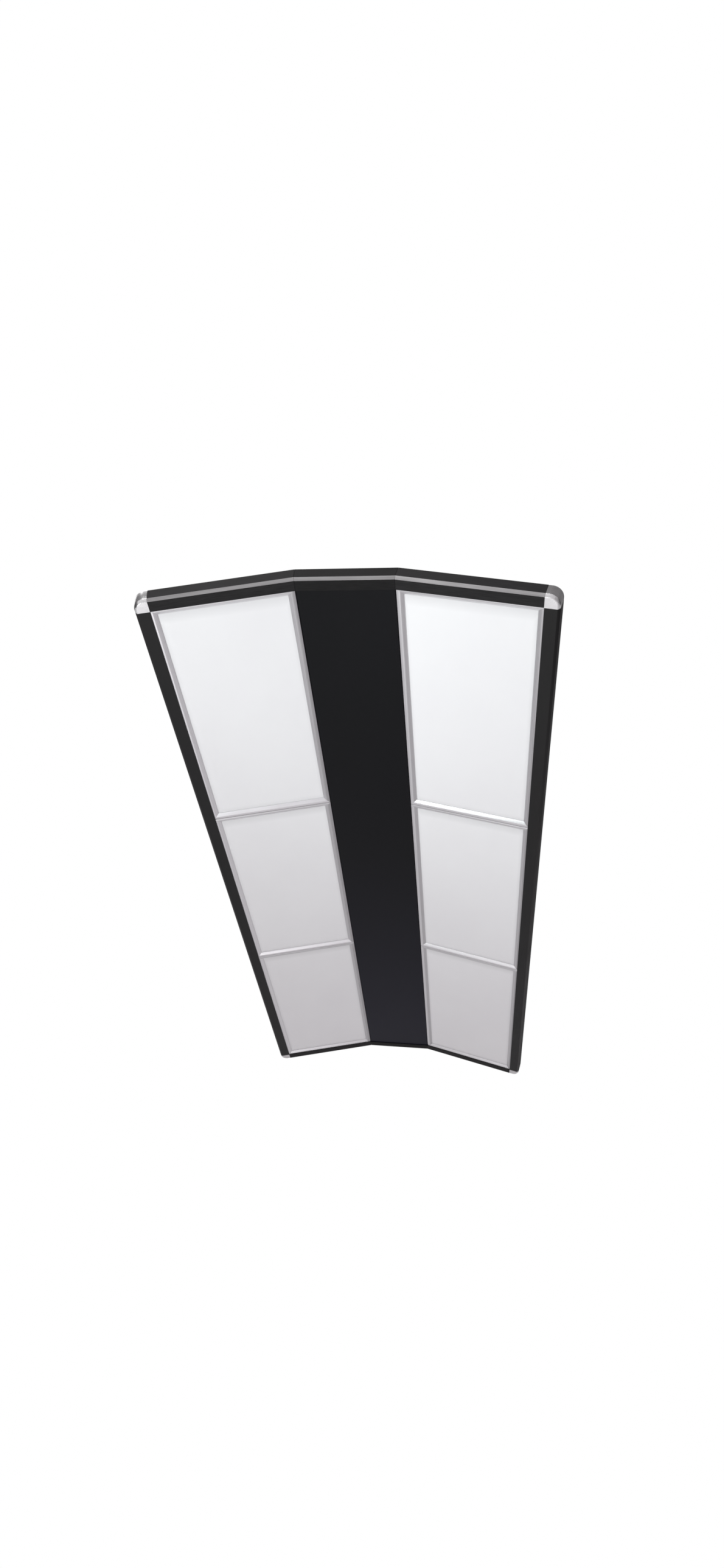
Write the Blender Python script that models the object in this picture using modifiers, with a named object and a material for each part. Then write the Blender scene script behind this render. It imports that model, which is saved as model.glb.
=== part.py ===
"""Suspended roof-shaped panel light with two folding wings.

A flat black spine carries two wings that slope down from it.  Each wing is a
frame of black rails with bright corner caps, holding framed opal panels end to
end.  A continuous hinge on top of each fold lets the wing swing up from the
mitred stop where it rests.

Metres, +Z up.  +Y runs along the length, X across it.  The origin is the
centre of the top cover, between the two hanging points.
"""

import math

import bmesh
import bpy
from mathutils import Matrix

# ---------------------------------------------------------------- dimensions
GAP = 0.0003                      # clearance between touching pieces

ALPHA = math.radians(13.7)        # slope of each wing below the spine
HALF_SPINE = 0.0970               # fold line on the underside, from the centre
RAIL_H = 0.0350                   # height of every rail
RAIL_T = 0.0016                   # wall of the extruded rails
CHAMFER_W = 0.0045                # chamfer along the lower outer edge
CHAMFER_H = 0.0065

PANEL_W = 0.2850                  # panel across the slope
PANEL_L = 0.5950                  # panel along the length
PANEL_GAP = 0.0010
PANELS = 3
PANEL_S0 = 0.0008                 # panel's inner edge from the fold line
PANEL_H0 = 0.0019                 # panel's lower face above the rail's lower face
PANEL_H = 0.0250
FRAME_T = 0.0016                  # panel frame's upright wall
FRAME_LIP = 0.0072                # flat lip seen from below
FRAME_BEVEL = 0.0070              # sloping inner edge
FRAME_BEVEL_H = 0.0045
LEDGE_H = 0.0057                  # ledge that the diffuser rests on
DIFFUSER_T = 0.0020
LED_BOARD_T = 0.0012
BACK_T = 0.0009

COVERED_SIDE = 0.0035             # panel edge hidden by the side flange
COVERED_END = 0.0030              # panel edge hidden by the end flange
SIDE_FLANGE = 0.0245
END_FLANGE = 0.0223
TOP_LIP = 0.0180
CAP_R = 0.0220                    # plan radius of the corner caps
TRIM_T = 0.0013                   # bright strip on the end rails' chamfer

COVER_T = 0.0015
COVER_HALF_W = 0.0765
CHANNEL_T = 0.0015

HINGE_H = 0.0383                  # hinge axis above the underside, on the fold's mitre
KNUCKLE_R = 0.0035
BORE_R = 0.0022
PIN_R = 0.0019
LEAF_W = 0.0250
LEAF_T = 0.0015
HINGE_HALF_L = 0.8800
KNUCKLES = 18

HANGER_Y = 0.6000
HANGER_SIZE = (0.1500, 0.0360, 0.0160)
HANGER_T = 0.0025
LUG_X = 0.0200
LUG_W = 0.0070
LUG_OUT = 0.0080                  # ring axis from the hanger's side
RING_WIRE_R = 0.0025
RING_AXIS_Z = 0.0032
RING_HALF_W = 0.0300
RING_REACH = 0.0400

# ------------------------------------------------------------ derived sizes
TAN_HALF = math.tan(ALPHA / 2)
Z_UNDER = -(COVER_T + GAP) - RAIL_H            # underside of the spine's rails
HALF_PANELS = (PANELS * PANEL_L + (PANELS - 1) * PANEL_GAP) / 2
S_VISIBLE = PANEL_S0 + PANEL_W - COVERED_SIDE  # inner edge of the side flange
S_EDGE = S_VISIBLE + SIDE_FLANGE
S_OUT = S_EDGE + CHAMFER_W
Y_VISIBLE = HALF_PANELS - COVERED_END          # inner edge of the end flange
Y_EDGE = Y_VISIBLE + END_FLANGE
Y_OUT = Y_EDGE + CHAMFER_W
Y_INNER = Y_OUT - TOP_LIP - GAP                # length of what lies between the end rails
S_HINGE = -HINGE_H * TAN_HALF
X_HINGE = HALF_SPINE + HINGE_H * TAN_HALF
Z_HINGE = Z_UNDER + HINGE_H

# ------------------------------------------------------------------ the scene
for obj in list(bpy.data.objects):
    bpy.data.objects.remove(obj, do_unlink=True)

parts = bpy.data.collections.new("folding_wing_panel_light")
cutters = bpy.data.collections.new("cutters")
bpy.context.scene.collection.children.link(parts)
bpy.context.scene.collection.children.link(cutters)


def material(name, colour, roughness, metallic):
    made = bpy.data.materials.new(name)
    made.use_nodes = True
    shader = made.node_tree.nodes["Principled BSDF"]
    shader.inputs["Base Color"].default_value = (*colour, 1.0)
    shader.inputs["Roughness"].default_value = roughness
    shader.inputs["Metallic"].default_value = metallic
    return made


BLACK = material("black_satin_rail", (0.018, 0.018, 0.020), 0.45, 0.0)
SHEET = material("black_sheet", (0.014, 0.015, 0.018), 0.5, 0.0)
BRIGHT = material("bright_trim", (0.62, 0.62, 0.63), 0.3, 1.0)
CHROME = material("corner_chrome", (0.78, 0.78, 0.80), 0.12, 1.0)
SILVER = material("silver_panel_frame", (0.72, 0.72, 0.74), 0.32, 1.0)
OPAL = material("opal_diffuser", (0.86, 0.86, 0.89), 0.4, 0.0)
BOARD = material("led_board_white", (0.82, 0.82, 0.80), 0.5, 0.0)
BACK = material("panel_back_white", (0.70, 0.71, 0.72), 0.5, 0.0)
STEEL = material("zinc_plated_steel", (0.56, 0.56, 0.57), 0.35, 1.0)
DRIVER = material("driver_case", (0.60, 0.61, 0.62), 0.45, 0.6)
PLASTIC = material("black_nylon", (0.02, 0.02, 0.02), 0.55, 0.0)
TERMINAL = material("terminal_nylon", (0.55, 0.55, 0.52), 0.5, 0.0)


# ------------------------------------------------------------------- helpers
def mesh_object(name, mesh, surface=None, parent=None, matrix=None, smooth=False):
    """A finished part in the parts collection, placed in its parent's frame."""
    obj = bpy.data.objects.new(name, mesh)
    parts.objects.link(obj)
    if surface is not None and surface.name not in mesh.materials:
        mesh.materials.append(surface)
    if matrix is not None:
        obj.matrix_local = matrix
    if parent is not None:
        obj.parent = parent
    if smooth:
        mesh.shade_smooth()
        mesh.set_sharp_from_angle(angle=math.radians(40))
    return obj


def empty(name, location, rotation=(0.0, 0.0, 0.0)):
    made = bpy.data.objects.new(name, None)
    made.location = location
    made.rotation_euler = rotation
    parts.objects.link(made)
    return made


def box_mesh(name, low, high):
    """A cube primitive stretched between two corners."""
    bm = bmesh.new()
    bmesh.ops.create_cube(bm, size=1.0)
    for v in bm.verts:
        for i in range(3):
            v.co[i] = high[i] if v.co[i] > 0 else low[i]
    mesh = bpy.data.meshes.new(name)
    bm.to_mesh(mesh)
    bm.free()
    return mesh


def cylinder_mesh(name, radius, length, sides, axis="Y"):
    bm = bmesh.new()
    bmesh.ops.create_cone(bm, cap_ends=True, segments=sides, radius1=radius,
                          radius2=radius, depth=length)
    if axis == "Y":
        bmesh.ops.rotate(bm, verts=bm.verts, matrix=Matrix.Rotation(math.pi / 2, 3, "X"))
    elif axis == "X":
        bmesh.ops.rotate(bm, verts=bm.verts, matrix=Matrix.Rotation(math.pi / 2, 3, "Y"))
    mesh = bpy.data.meshes.new(name)
    bm.to_mesh(mesh)
    bm.free()
    return mesh


def outline_mesh(name, outlines, half):
    """Flat outlines in the XY plane, holes included, extruded by half each way."""
    curve = bpy.data.curves.new(name, "CURVE")
    curve.dimensions = "2D"
    curve.fill_mode = "BOTH"
    curve.extrude = half
    for points in outlines:
        spline = curve.splines.new("POLY")
        spline.points.add(len(points) - 1)
        for point, (a, b) in zip(spline.points, points):
            point.co = (a, b, 0.0, 1.0)
        spline.use_cyclic_u = True
    holder = bpy.data.objects.new(name, curve)
    bpy.context.scene.collection.objects.link(holder)
    mesh = baked(holder)
    bm = bmesh.new()
    bm.from_mesh(mesh)
    bmesh.ops.remove_doubles(bm, verts=bm.verts, dist=1e-6)
    bmesh.ops.recalc_face_normals(bm, faces=bm.faces)
    bm.to_mesh(mesh)
    bm.free()
    return mesh


def baked(holder):
    """The evaluated mesh of a helper object, which is then removed."""
    bpy.context.view_layer.update()
    graph = bpy.context.evaluated_depsgraph_get()
    mesh = bpy.data.meshes.new_from_object(holder.evaluated_get(graph))
    mesh.name = holder.name
    bpy.data.objects.remove(holder, do_unlink=True)
    return mesh


def combined(name, base, steps):
    """A mesh cut or joined by others: steps is a list of (operation, mesh)."""
    holder = bpy.data.objects.new(name, base)
    cutters.objects.link(holder)
    helpers = []
    for number, (operation, mesh) in enumerate(steps):
        helper = bpy.data.objects.new(f"{name}_cutter_{number}", mesh)
        helper.hide_render = True
        helper.display_type = "WIRE"
        cutters.objects.link(helper)
        modifier = holder.modifiers.new(f"step_{number}", "BOOLEAN")
        modifier.operation = operation
        modifier.solver = "EXACT"
        modifier.object = helper
        helpers.append(helper)
    mesh = baked(holder)
    for helper in helpers:
        bpy.data.objects.remove(helper, do_unlink=True)
    return mesh


def moved(mesh, x=0.0, y=0.0, z=0.0):
    mesh.transform(Matrix.Translation((x, y, z)))
    return mesh


def joined(name, meshes):
    """Several separate shapes in one mesh, used only as a cutter."""
    bm = bmesh.new()
    for mesh in meshes:
        bm.from_mesh(mesh)
    made = bpy.data.meshes.new(name)
    bm.to_mesh(made)
    bm.free()
    return made


def prism_y(name, section, y0, y1):
    """A section given as (across, up), run along Y."""
    mesh = outline_mesh(name, [section], 1.0)
    mesh.transform(Matrix(((1, 0, 0, 0), (0, 0, -1, 0), (0, 1, 0, 0), (0, 0, 0, 1))))
    for v in mesh.vertices:
        v.co.y = y1 if v.co.y > 0 else y0
    return mesh


def prism_x(name, section, start, end):
    """A section given as (along Y, up), run along X between two mitred ends."""
    mesh = outline_mesh(name, [section], 1.0)
    mesh.transform(Matrix(((0, 0, 1, 0), (1, 0, 0, 0), (0, 1, 0, 0), (0, 0, 0, 1))))
    for v in mesh.vertices:
        v.co.x = end(v.co.z) if v.co.x > 0 else start(v.co.z)
    return mesh


def circle(radius, sides, start=0.0, sweep=2 * math.pi, centre=(0.0, 0.0)):
    closed = abs(sweep - 2 * math.pi) < 1e-9
    count = sides if closed else sides + 1
    return [(centre[0] + radius * math.cos(start + sweep * i / sides),
             centre[1] + radius * math.sin(start + sweep * i / sides)) for i in range(count)]


# -------------------------------------------------------------- rail sections
def side_section():
    """Side rail: flange, chamfer, outer wall and top lip, as (s, h)."""
    slope = CHAMFER_H / CHAMFER_W
    size = math.hypot(CHAMFER_W, CHAMFER_H)
    # the chamfer wall's inner line, one wall inside the outer one
    s_in = S_EDGE - RAIL_T * CHAMFER_H / size
    h_in = RAIL_T * CHAMFER_W / size
    foot = s_in + (RAIL_T - h_in) / slope
    head = h_in + slope * (S_OUT - RAIL_T - s_in)
    return [(S_VISIBLE, 0), (S_EDGE, 0), (S_OUT, CHAMFER_H), (S_OUT, RAIL_H),
            (S_OUT - TOP_LIP, RAIL_H), (S_OUT - TOP_LIP, RAIL_H - RAIL_T),
            (S_OUT - RAIL_T, RAIL_H - RAIL_T), (S_OUT - RAIL_T, head), (foot, RAIL_T),
            (S_VISIBLE, RAIL_T)]


def trim_section(end):
    """Bright strip on the end rail's chamfer, as (y, h)."""
    rise = TRIM_T * CHAMFER_H / CHAMFER_W
    return [(end * y, h) for y, h in
            ((Y_EDGE, 0), (Y_OUT, CHAMFER_H), (Y_OUT - TRIM_T, CHAMFER_H), (Y_EDGE, rise))]


def end_section(end):
    """End rail: as the side rail, but set back on the chamfer to seat the strip."""
    slope = CHAMFER_H / CHAMFER_W
    size = math.hypot(CHAMFER_W, CHAMFER_H)
    rise = TRIM_T * slope

    def seat(depth):
        """A line inside the strip's back, as height at a given y."""
        y0 = Y_EDGE - depth * CHAMFER_H / size
        h0 = rise + depth * CHAMFER_W / size
        return lambda y: h0 + slope * (y - y0), lambda h: y0 + (h - h0) / slope

    outer_h, outer_y = seat(GAP)
    inner_h, inner_y = seat(GAP + RAIL_T)
    points = [(Y_VISIBLE, 0), (Y_EDGE - GAP, 0), (Y_EDGE - GAP, outer_h(Y_EDGE - GAP)),
              (outer_y(CHAMFER_H + GAP), CHAMFER_H + GAP), (Y_OUT, CHAMFER_H + GAP),
              (Y_OUT, RAIL_H), (Y_OUT - TOP_LIP, RAIL_H), (Y_OUT - TOP_LIP, RAIL_H - RAIL_T),
              (Y_OUT - RAIL_T, RAIL_H - RAIL_T), (Y_OUT - RAIL_T, inner_h(Y_OUT - RAIL_T)),
              (inner_y(RAIL_T), RAIL_T), (Y_VISIBLE, RAIL_T)]
    return [(end * y, h) for y, h in points]


def mitre(h):
    """The fold's mitre plane in a wing's own frame, with half the clearance."""
    return -h * TAN_HALF + GAP / 2


# -------------------------------------------------------------------- spine
def up(mesh):
    """Lifts a mesh drawn from the rails' underside to its place on the spine."""
    return moved(mesh, z=Z_UNDER)


def make_spine():
    base = PANEL_H0
    wall = HALF_SPINE - GAP
    half = [(wall, base), (wall, RAIL_H), (COVER_HALF_W - 0.0085, RAIL_H),
            (COVER_HALF_W - 0.0085, RAIL_H - CHANNEL_T), (wall - CHANNEL_T, RAIL_H - CHANNEL_T),
            (wall - CHANNEL_T, base + CHANNEL_T)]
    section = half + [(-x, h) for x, h in reversed(half)]
    mesh_object("spine_channel", up(prism_y("spine_channel", section, -Y_INNER, Y_INNER)), SHEET)

    def right(h):
        return HALF_SPINE + h * TAN_HALF - GAP / 2

    for end, where in ((-1, "near"), (1, "far")):
        rail = prism_x(f"spine_end_rail_{where}", end_section(end), lambda h: -right(h), right)
        mesh_object(f"spine_end_rail_{where}", up(rail), BLACK)
        trim = prism_x(f"spine_end_trim_{where}", trim_section(end), lambda h: -right(h), right)
        mesh_object(f"spine_end_trim_{where}", up(trim), BRIGHT)

    gland_y = 0.180
    sheet = box_mesh("spine_top_cover", (-COVER_HALF_W, -Y_INNER, -COVER_T),
                     (COVER_HALF_W, Y_INNER, 0))
    hole = moved(cylinder_mesh("gland_hole", 0.0083, 0.02, 20, axis="Z"), y=gland_y)
    mesh_object("spine_top_cover", combined("spine_top_cover", sheet, [("DIFFERENCE", hole)]), SHEET)

    # cable gland: a turned body with the lock nut under the cover
    profile = [(0.0045, 0.0210), (0.0070, 0.0205), (0.0095, 0.0170), (0.0100, 0.0090),
               (0.0120, 0.0085), (0.0120, GAP), (0.0078, GAP), (0.0078, -COVER_T - GAP),
               (0.0115, -COVER_T - GAP), (0.0115, -0.0070), (0.0078, -0.0070),
               (0.0078, -0.0110), (0.0045, -0.0110)]
    mesh_object("cable_gland", moved(turned("cable_gland", profile, 20), y=gland_y), PLASTIC, smooth=True)

    # inside the channel: one driver for each wing, and the supply terminals
    floor = Z_UNDER + base + CHANNEL_T + GAP
    for side, where in ((-1, "left"), (1, "right")):
        y = side * 0.330
        case = box_mesh("case", (-0.030, y - 0.085, floor), (0.030, y + 0.085, floor + 0.024))
        foot = box_mesh("foot", (-0.022, y - 0.100, floor), (0.022, y + 0.100, floor + 0.0015))
        mesh_object(f"driver_{where}", combined(f"driver_{where}", case, [("UNION", foot)]), DRIVER)
    block = box_mesh("terminal_block", (-0.026, -0.011, floor), (0.026, 0.011, floor + 0.018))
    wells = [moved(cylinder_mesh("well", 0.0036, 0.016, 8, axis="Z"), x=x, z=floor + 0.018)
             for x in (-0.0165, -0.0055, 0.0055, 0.0165)]
    mesh_object("terminal_block",
                combined("terminal_block", block, [("DIFFERENCE", joined("wells", wells))]), TERMINAL)

    for end, where in ((-1, "near"), (1, "far")):
        make_hanger(end, where)
    for side, where in ((-1, "left"), (1, "right")):
        make_spine_hinge(side, where)


def turned(name, profile, steps):
    """A closed profile of (radius, z) turned about Z."""
    bm = bmesh.new()
    verts = [bm.verts.new((r, 0.0, z)) for r, z in profile]
    for a, b in zip(verts, verts[1:] + verts[:1]):
        bm.edges.new((a, b))
    mesh = bpy.data.meshes.new(name + "_profile")
    bm.to_mesh(mesh)
    bm.free()
    holder = bpy.data.objects.new(name, mesh)
    bpy.context.scene.collection.objects.link(holder)
    screw = holder.modifiers.new("turn", "SCREW")
    screw.axis = "Z"
    screw.steps = screw.render_steps = steps
    screw.use_merge_vertices = True
    screw.merge_threshold = 0.00001
    mesh = baked(holder)
    bm = bmesh.new()
    bm.from_mesh(mesh)
    bmesh.ops.remove_doubles(bm, verts=bm.verts, dist=1e-6)
    bmesh.ops.recalc_face_normals(bm, faces=bm.faces)
    bm.to_mesh(mesh)
    bm.free()
    return mesh


def make_hanger(end, where):
    """A folded bar across the spine, with two lugs that carry a hanging ring."""
    width, depth, height = HANGER_SIZE
    y = end * HANGER_Y
    inward = -end                                   # the lugs face the middle
    bar = box_mesh("bar", (-width / 2, y - depth / 2, GAP), (width / 2, y + depth / 2, height))
    room = box_mesh("room", (-width / 2 + HANGER_T, y - depth / 2 + HANGER_T, -0.01),
                    (width / 2 - HANGER_T, y + depth / 2 - HANGER_T, height - HANGER_T))
    side = y + inward * depth / 2
    axis_y = side + inward * LUG_OUT
    steps = [("DIFFERENCE", room)]
    for x in (-LUG_X, LUG_X):
        reach = sorted((side - inward * 0.001, axis_y + inward * 0.0052))
        lug = box_mesh("lug", (x - LUG_W / 2, reach[0], GAP), (x + LUG_W / 2, reach[1], RING_AXIS_Z + 0.0052))
        steps.append(("UNION", lug))
    eye = moved(cylinder_mesh("eye", 0.0031, 2 * LUG_X + 0.02, 12, axis="X"), y=axis_y, z=RING_AXIS_Z)
    bottom = box_mesh("eye_slot", (-LUG_X - 0.01, axis_y - 0.0029, -0.003),
                      (LUG_X + 0.01, axis_y + 0.0029, RING_AXIS_Z))
    steps += [("DIFFERENCE", eye), ("DIFFERENCE", bottom)]
    mesh_object(f"hanger_bar_{where}", combined(f"hanger_bar_{where}", bar, steps), STEEL)

    # the ring lies on the cover, its straight side through both lugs
    pivot = empty(f"ring_{where}_axis", (0.0, axis_y, RING_AXIS_Z))
    r = 0.012
    reach = RING_REACH
    corners = [(-RING_HALF_W, 0.0)] + [(RING_HALF_W, 0.0)]
    bow = circle(1.0, 10, 0.0, math.pi)
    path = corners + [(RING_HALF_W * a, inward * (r + (reach - r) * b)) for a, b in bow]
    curve = bpy.data.curves.new(f"d_ring_{where}", "CURVE")
    curve.dimensions = "3D"
    curve.fill_mode = "FULL"
    curve.bevel_depth = RING_WIRE_R
    curve.bevel_resolution = 2
    spline = curve.splines.new("POLY")
    spline.points.add(len(path) - 1)
    for point, (a, b) in zip(spline.points, path):
        point.co = (a, b, 0.0, 1.0)
    spline.use_cyclic_u = True
    holder = bpy.data.objects.new(f"d_ring_{where}", curve)
    bpy.context.scene.collection.objects.link(holder)
    mesh = baked(holder)
    bm = bmesh.new()
    bm.from_mesh(mesh)
    bmesh.ops.remove_doubles(bm, verts=bm.verts, dist=1e-6)
    bmesh.ops.recalc_face_normals(bm, faces=bm.faces)
    bm.to_mesh(mesh)
    bm.free()
    mesh_object(f"d_ring_{where}", mesh, STEEL, parent=pivot, smooth=True)


# -------------------------------------------------------------------- hinges
def leaf_mesh(name, side, keep):
    """One leaf of a continuous hinge, drawn about its axis.

    side is the way the leaf runs from the axis; keep is 0 or 1 and picks the
    knuckles that belong to this leaf.
    """
    top, bottom = HINGE_TOP, HINGE_BOTTOM
    outer = [(-LEAF_W, bottom)]
    start = math.pi + math.asin(-bottom / KNUCKLE_R)
    finish = 3 * math.pi + math.asin(-top / KNUCKLE_R)
    # round the barrel from the plate's lower face to its upper face
    outer += circle(KNUCKLE_R, 11, start, finish - start)
    outer += [(-LEAF_W, top)]
    bore = circle(BORE_R, 10)
    section = [[(side * -x, z) for x, z in outer], [(side * -x, z) for x, z in bore]]
    mesh = outline_mesh(name, section, HINGE_HALF_L)
    mesh.transform(Matrix(((1, 0, 0, 0), (0, 0, -1, 0), (0, 1, 0, 0), (0, 0, 0, 1))))
    pitch = 2 * HINGE_HALF_L / KNUCKLES
    notches = []
    for i in range(KNUCKLES):
        if i % 2 == keep:
            continue
        y0 = -HINGE_HALF_L + i * pitch - (GAP / 2 if i else 0.01)
        y1 = -HINGE_HALF_L + (i + 1) * pitch + (GAP / 2 if i < KNUCKLES - 1 else 0.01)
        edge = KNUCKLE_R + 0.0005
        low, high = sorted((side * edge, -side * 0.006))
        notches.append(box_mesh("notch", (low, y0, -0.006), (high, y1, 0.006)))
    return combined(name, mesh, [("DIFFERENCE", joined("notches", notches))])


HINGE_BOTTOM = RAIL_H + GAP - HINGE_H
HINGE_TOP = HINGE_BOTTOM + LEAF_T


def make_spine_hinge(side, where):
    axis = empty(f"hinge_{where}_axis", (side * X_HINGE, 0.0, Z_HINGE))
    mesh_object(f"hinge_leaf_spine_{where}", leaf_mesh("leaf", -side, 0), STEEL, parent=axis, smooth=True)
    pin = cylinder_mesh("pin", PIN_R, 2 * HINGE_HALF_L + 0.004, 10)
    mesh_object(f"hinge_pin_{where}", pin, STEEL, parent=axis, smooth=True)


# --------------------------------------------------------------------- wings
def panel_meshes():
    """One framed panel, drawn from its lower inner corner."""
    w, l = PANEL_W, PANEL_L
    frame = box_mesh("panel_frame", (0, 0, 0), (w, l, PANEL_H))
    pocket = box_mesh("pocket", (FRAME_T, FRAME_T, LEDGE_H), (w - FRAME_T, l - FRAME_T, 0.05))
    throat_in = FRAME_LIP + FRAME_BEVEL
    throat = box_mesh("throat", (throat_in, throat_in, -0.01), (w - throat_in, l - throat_in, 0.05))
    flare = box_mesh("flare", (FRAME_LIP, FRAME_LIP, 0), (w - FRAME_LIP, l - FRAME_LIP, 1))
    slope = FRAME_BEVEL / FRAME_BEVEL_H
    below, above = -0.002, FRAME_BEVEL_H
    for v in flare.vertices:
        inset = FRAME_LIP + slope * (below if v.co.z < 0.5 else above)
        v.co.x = inset if v.co.x < w / 2 else w - inset
        v.co.y = inset if v.co.y < l / 2 else l - inset
        v.co.z = below if v.co.z < 0.5 else above
    frame = combined("panel_frame", frame, [("DIFFERENCE", pocket), ("DIFFERENCE", throat),
                                            ("DIFFERENCE", flare)])
    edge = FRAME_T + 0.0008
    diffuser = box_mesh("diffuser", (edge, edge, LEDGE_H + GAP),
                        (w - edge, l - edge, LEDGE_H + GAP + DIFFUSER_T))
    top = PANEL_H - 0.0010
    board = box_mesh("led_board", (edge, edge, top - LED_BOARD_T), (w - edge, l - edge, top))
    rows = []
    for i in range(4):
        x = w * (i + 0.5) / 4
        rows.append(box_mesh("row", (x - 0.004, 0.03, top - LED_BOARD_T - 0.0014),
                             (x + 0.004, l - 0.03, top - LED_BOARD_T + 0.0004)))
    board = combined("led_board", board, [("UNION", row) for row in rows])
    z = PANEL_H + GAP
    back = box_mesh("panel_back", (0.0004, 0.0004, z), (w - 0.0004, l - 0.0004, z + BACK_T))
    ribs = []
    for x in (w * 0.3, w * 0.7):
        rib = box_mesh("rib", (x - 0.006, 0.06, z + 0.0002), (x + 0.006, l - 0.06, z + BACK_T + 0.0016))
        for v in rib.vertices:
            if v.co.z > z + BACK_T:
                v.co.x = x + (v.co.x - x) * 0.6
                v.co.y = l / 2 + (v.co.y - l / 2) * 0.985
        ribs.append(rib)
    back = combined("panel_back", back, [("UNION", rib) for rib in ribs])
    return {"panel_frame": (frame, SILVER), "diffuser": (diffuser, OPAL),
            "led_board": (board, BOARD), "panel_back": (back, BACK)}


def cap_mesh(end):
    """Corner cap: the rails' profile carried round the corner, with two spigots."""
    arc = 8
    centre = (S_OUT - CAP_R, Y_OUT - CAP_R)

    def ring(inset):
        edge_s, edge_y = S_OUT - inset, Y_OUT - inset
        return ([(S_VISIBLE, Y_VISIBLE), (edge_s, Y_VISIBLE)]
                + circle(CAP_R - inset, arc, 0.0, math.pi / 2, centre)
                + [(S_VISIBLE, edge_y)])

    low, full = ring(CHAMFER_W), ring(0.0)
    bm = bmesh.new()
    floor = bm.faces.new([bm.verts.new((s, end * y, 0.0)) for s, y in low])
    order = list(floor.verts)
    for height in (CHAMFER_H, RAIL_H):
        grown = bmesh.ops.extrude_face_region(bm, geom=[floor])
        lifted = [f for f in grown["geom"] if isinstance(f, bmesh.types.BMFace)][0]
        if floor.is_valid and height != CHAMFER_H:
            bm.faces.remove(floor)
        floor = lifted
        # the new face keeps the outline's order
        near = {}
        for v in floor.verts:
            match = min(range(len(order)), key=lambda i: (order[i].co - v.co).length)
            near[v] = match
        order = [v for v, _ in sorted(near.items(), key=lambda item: item[1])]
        for v, (s, y) in zip(order, full):
            v.co = (s, end * y, height)
    bmesh.ops.recalc_face_normals(bm, faces=bm.faces)
    body = bpy.data.meshes.new("cap_body")
    bm.to_mesh(body)
    bm.free()
    play = 0.0005
    along = sorted((end * (Y_VISIBLE - 0.020), end * (Y_VISIBLE + 0.004)))
    spigot_y = box_mesh("spigot", (S_OUT - TOP_LIP, along[0], 0.010),
                        (S_OUT - RAIL_T - play, along[1], 0.031))
    across = sorted((end * (Y_OUT - TOP_LIP), end * (Y_OUT - RAIL_T - play)))
    spigot_s = box_mesh("spigot", (S_VISIBLE - 0.020, across[0], 0.010),
                        (S_VISIBLE + 0.004, across[1], 0.031))
    # clear the panel's corner, which runs a little way over the cap's floor
    reach = sorted((end * (Y_VISIBLE - 0.01), end * (HALF_PANELS + 2 * GAP)))
    notch = box_mesh("notch", (S_VISIBLE - 0.01, reach[0], RAIL_T),
                     (PANEL_S0 + PANEL_W + 2 * GAP, reach[1], RAIL_H + 0.01))
    return combined("corner_cap", body, [("DIFFERENCE", notch), ("UNION", spigot_y), ("UNION", spigot_s)])


def make_wing(side, panels):
    """One wing in its own frame: X down the slope, Z away from its lit face.

    The left wing is the right one turned half round, so its near end is drawn
    as this frame's far end.
    """
    where = "right" if side > 0 else "left"
    turn = 0.0 if side > 0 else math.pi
    axis = empty(f"wing_{where}_axis", (side * X_HINGE, 0.0, Z_HINGE), (0.0, ALPHA, turn))
    ends = {-1: "near", 1: "far"} if side > 0 else {-1: "far", 1: "near"}

    def add(name, mesh, surface, matrix=None, smooth=False):
        place = Matrix.Translation((-S_HINGE, 0.0, -HINGE_H))
        if matrix is not None:
            place = place @ matrix
        return mesh_object(f"{where}_{name}", mesh, surface, axis, place, smooth)

    add("side_rail", prism_y("side_rail", side_section(), -Y_VISIBLE + GAP, Y_VISIBLE - GAP), BLACK)
    for end, name in ends.items():
        stop = lambda h: S_VISIBLE - GAP
        add(f"end_rail_{name}", prism_x("end_rail", end_section(end), mitre, stop), BLACK)
        add(f"end_trim_{name}", prism_x("end_trim", trim_section(end), mitre, stop), BRIGHT)
        add(f"corner_cap_{name}", cap_mesh(end), CHROME, smooth=True)

    # inner rail: a web behind the panels' inner edges, and the lip for the hinge
    web = (-0.0009, 0.0004)
    inner = [(web[0], 0.010), (web[1], 0.010), (web[1], RAIL_H - RAIL_T),
             (0.0260, RAIL_H - RAIL_T), (0.0260, RAIL_H), (web[0], RAIL_H)]
    add("inner_rail", prism_y("inner_rail", inner, -Y_INNER, Y_INNER), BLACK)

    leaf = leaf_mesh("leaf", 1, 1 if side > 0 else 0)
    obj = mesh_object(f"hinge_leaf_wing_{where}", leaf, STEEL, axis, smooth=True)
    obj.matrix_local = Matrix.Identity(4)

    for i in range(PANELS):
        y0 = -HALF_PANELS + i * (PANEL_L + PANEL_GAP)
        number = i + 1 if side > 0 else PANELS - i
        spot = Matrix.Translation((PANEL_S0, y0, PANEL_H0))
        for name, (mesh, surface) in panels.items():
            add(f"{name}_{number}", mesh, surface, spot)


make_spine()
PANEL = panel_meshes()
make_wing(-1, PANEL)
make_wing(1, PANEL)
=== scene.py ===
"""Finishes, fine pieces, light and camera for the folding-wing panel light."""

import math

import bmesh
import bpy
from mathutils import Matrix, Vector


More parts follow.
